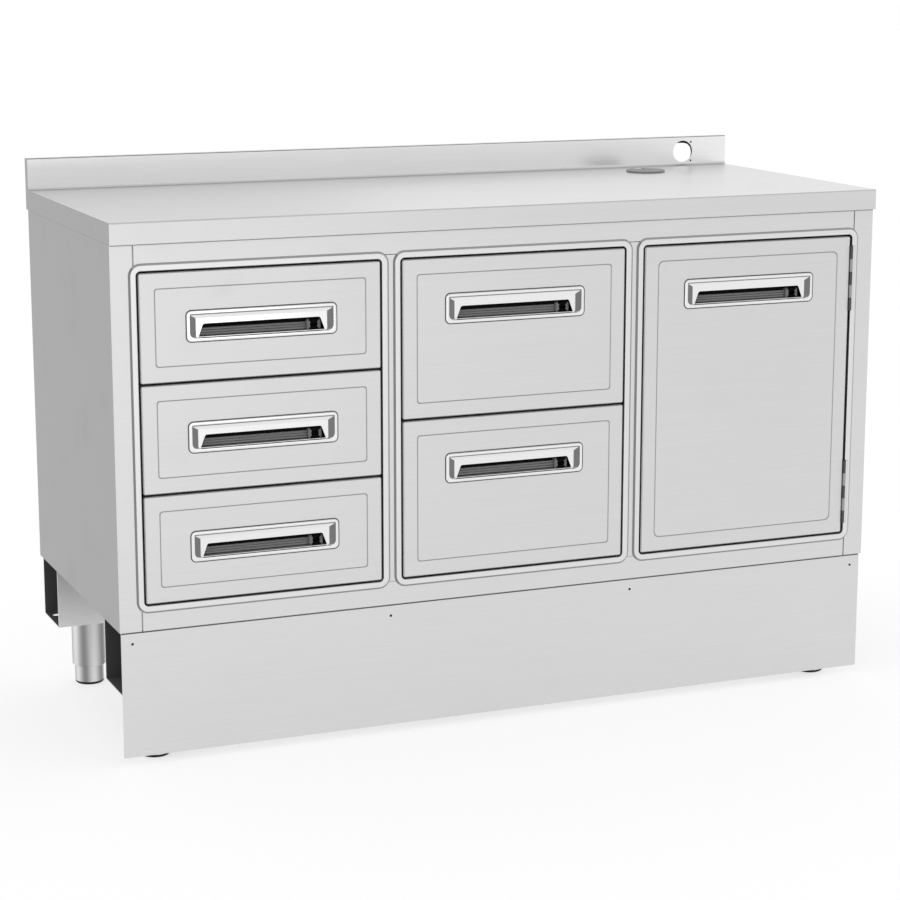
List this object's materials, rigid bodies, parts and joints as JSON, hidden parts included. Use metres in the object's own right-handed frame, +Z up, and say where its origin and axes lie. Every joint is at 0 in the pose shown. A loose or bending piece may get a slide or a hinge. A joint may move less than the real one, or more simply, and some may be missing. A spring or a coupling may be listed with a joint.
{
  "type": "back bar cabinet",
  "caption": "Stainless steel back bar cabinet: worktop with rear upstand over drawers and a hinged door with recessed pulls, on base rails, adjustable legs and a plinth.",
  "frame": {"origin": "on the floor under the middle of the cabinet's box", "axes": "+X along the length to the door end, +Y to the wall, +Z up; the fronts face -Y"},
  "size_m": [1.5, 0.62, 1.023],
  "materials": {
    "worktop_steel": "satin, fine grain along the length",
    "body_steel": "satin, fine grain",
    "front_steel": "satin, fine grain across the front",
    "inner_steel": "mill finish sheet",
    "slide_steel": "plated",
    "pull_chrome": "polished",
    "hinge_steel": "satin",
    "leg_steel": "satin tube",
    "foot_steel": "satin, black sole",
    "grommet_plastic": "fine moulded grain"
  },
  "bodies": {
    "cabinet": {"worktop": "worktop_steel", "grommet_liner": "grommet_plastic", "side_panel_left": "body_steel", "side_panel_right": "body_steel", "floor_panel": "body_steel", "back_panel": "inner_steel", "front_top_rail": "body_steel", "shelf": "inner_steel", "partition_left": "inner_steel", "partition_right": "inner_steel", "bay_frame_left": "body_steel", "bay_frame_centre": "body_steel", "bay_frame_right": "body_steel", "runner_frame_left_left": "inner_steel", "runner_frame_left_right": "inner_steel", "runner_frame_centre_left": "inner_steel", "runner_frame_centre_right": "inner_steel", "hinge_upper_frame_leaf": "hinge_steel", "hinge_lower_frame_leaf": "hinge_steel", "plinth": "body_steel", "base_rail_front": "body_steel", "base_rail_rear": "body_steel", "leg_front_left": "leg_steel", "leg_front_right": "leg_steel", "leg_rear_left": "leg_steel", "leg_rear_right": "leg_steel"},
    "left_top_drawer": {"left_top_drawer_front": "front_steel", "left_top_drawer_handle": "pull_chrome", "left_top_drawer_box": "inner_steel"},
    "left_top_slides": {"left_top_slide_left": "slide_steel", "left_top_slide_right": "slide_steel"},
    "left_middle_drawer": {"left_middle_drawer_front": "front_steel", "left_middle_drawer_handle": "pull_chrome", "left_middle_drawer_box": "inner_steel"},
    "left_middle_slides": {"left_middle_slide_left": "slide_steel", "left_middle_slide_right": "slide_steel"},
    "left_bottom_drawer": {"left_bottom_drawer_front": "front_steel", "left_bottom_drawer_handle": "pull_chrome", "left_bottom_drawer_box": "inner_steel"},
    "left_bottom_slides": {"left_bottom_slide_left": "slide_steel", "left_bottom_slide_right": "slide_steel"},
    "centre_top_drawer": {"centre_top_drawer_front": "front_steel", "centre_top_drawer_handle": "pull_chrome", "centre_top_drawer_box": "inner_steel"},
    "centre_top_slides": {"centre_top_slide_left": "slide_steel", "centre_top_slide_right": "slide_steel"},
    "centre_bottom_drawer": {"centre_bottom_drawer_front": "front_steel", "centre_bottom_drawer_handle": "pull_chrome", "centre_bottom_drawer_box": "inner_steel"},
    "centre_bottom_slides": {"centre_bottom_slide_left": "slide_steel", "centre_bottom_slide_right": "slide_steel"},
    "door": {"door_panel": "front_steel", "door_handle": "pull_chrome", "hinge_upper_door_leaf": "hinge_steel", "hinge_lower_door_leaf": "hinge_steel"},
    "foot_front_left": {"foot_front_left": "foot_steel"},
    "foot_front_right": {"foot_front_right": "foot_steel"},
    "foot_rear_left": {"foot_rear_left": "foot_steel"},
    "foot_rear_right": {"foot_rear_right": "foot_steel"},
    "grommet_cap": {"grommet_cap": "grommet_plastic"}
  },
  "joints": [
    {"name": "left_top_drawer_slide", "type": "slide", "parent": "cabinet", "child": "left_top_drawer", "axis": [0, -1, 0], "range_m": [0, 0.44]},
    {"name": "left_top_middle_member_slide", "type": "slide", "parent": "cabinet", "child": "left_top_slides", "axis": [0, -1, 0], "range_m": [0, 0.22]},
    {"name": "left_middle_drawer_slide", "type": "slide", "parent": "cabinet", "child": "left_middle_drawer", "axis": [0, -1, 0], "range_m": [0, 0.44]},
    {"name": "left_middle_middle_member_slide", "type": "slide", "parent": "cabinet", "child": "left_middle_slides", "axis": [0, -1, 0], "range_m": [0, 0.22]},
    {"name": "left_bottom_drawer_slide", "type": "slide", "parent": "cabinet", "child": "left_bottom_drawer", "axis": [0, -1, 0], "range_m": [0, 0.44]},
    {"name": "left_bottom_middle_member_slide", "type": "slide", "parent": "cabinet", "child": "left_bottom_slides", "axis": [0, -1, 0], "range_m": [0, 0.22]},
    {"name": "centre_top_drawer_slide", "type": "slide", "parent": "cabinet", "child": "centre_top_drawer", "axis": [0, -1, 0], "range_m": [0, 0.44]},
    {"name": "centre_top_middle_member_slide", "type": "slide", "parent": "cabinet", "child": "centre_top_slides", "axis": [0, -1, 0], "range_m": [0, 0.22]},
    {"name": "centre_bottom_drawer_slide", "type": "slide", "parent": "cabinet", "child": "centre_bottom_drawer", "axis": [0, -1, 0], "range_m": [0, 0.44]},
    {"name": "centre_bottom_middle_member_slide", "type": "slide", "parent": "cabinet", "child": "centre_bottom_slides", "axis": [0, -1, 0], "range_m": [0, 0.22]},
    {"name": "door_hinge", "type": "hinge", "parent": "cabinet", "child": "door", "pos_m": [0.7015, -0.3067, 0.5846], "axis": [0, 0, 1], "range_deg": [0, 120]},
    {"name": "foot_front_left_screw", "type": "slide", "parent": "cabinet", "child": "foot_front_left", "axis": [0, 0, -1], "range_m": [0, 0.03]},
    {"name": "foot_front_right_screw", "type": "slide", "parent": "cabinet", "child": "foot_front_right", "axis": [0, 0, -1], "range_m": [0, 0.03]},
    {"name": "foot_rear_left_screw", "type": "slide", "parent": "cabinet", "child": "foot_rear_left", "axis": [0, 0, -1], "range_m": [0, 0.03]},
    {"name": "foot_rear_right_screw", "type": "slide", "parent": "cabinet", "child": "foot_rear_right", "axis": [0, 0, -1], "range_m": [0, 0.03]},
    {"name": "grommet_cap_turn", "type": "hinge", "parent": "cabinet", "child": "grommet_cap", "pos_m": [0.51, 0.187, 0.9649], "axis": [0, 0, 1], "continuous": true}
  ],
  "couplings": [
    {"joint": "left_top_middle_member_slide", "follows": "left_top_drawer_slide", "ratio": 0.5},
    {"joint": "left_middle_middle_member_slide", "follows": "left_middle_drawer_slide", "ratio": 0.5},
    {"joint": "left_bottom_middle_member_slide", "follows": "left_bottom_drawer_slide", "ratio": 0.5},
    {"joint": "centre_top_middle_member_slide", "follows": "centre_top_drawer_slide", "ratio": 0.5},
    {"joint": "centre_bottom_middle_member_slide", "follows": "centre_bottom_drawer_slide", "ratio": 0.5}
  ]
}
